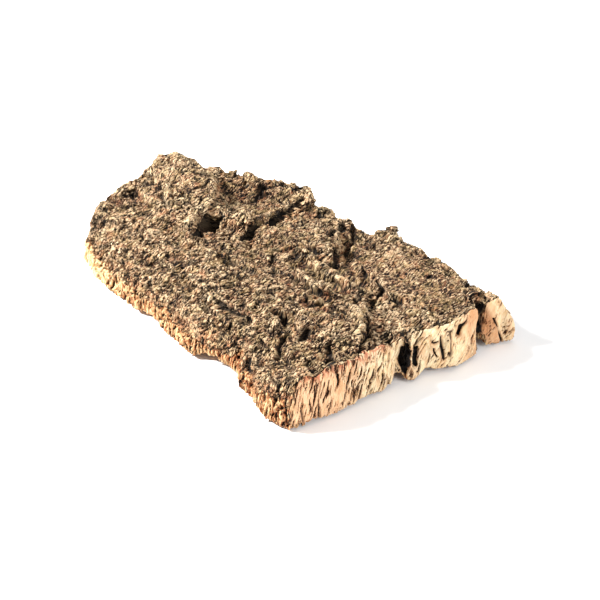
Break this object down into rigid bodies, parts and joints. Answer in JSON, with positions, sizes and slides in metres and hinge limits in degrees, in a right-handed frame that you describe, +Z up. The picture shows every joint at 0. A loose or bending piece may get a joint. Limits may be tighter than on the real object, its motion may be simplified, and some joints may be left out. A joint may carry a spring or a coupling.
{
  "type": "virgin cork bark slab",
  "caption": "Flat slab of virgin cork bark with a rough, furrowed outer side, a cut end full of pore channels and a shallow hollow underside, for display or planting.",
  "frame": {"origin": "middle of the slab's outline, on the surface that it lies on", "axes": "+X along the trunk towards the cut end, +Y across it towards the side with the small raised horn, +Z up, out of the rough outer bark"},
  "size_m": [0.2936, 0.1782, 0.0572],
  "materials": {
    "cork_bark": "rough, granular outer bark, grey-brown with pale grains, over pale cream cork streaked brown"
  },
  "bodies": {
    "root": {"cork_bark": "cork_bark"}
  },
  "joints": []
}
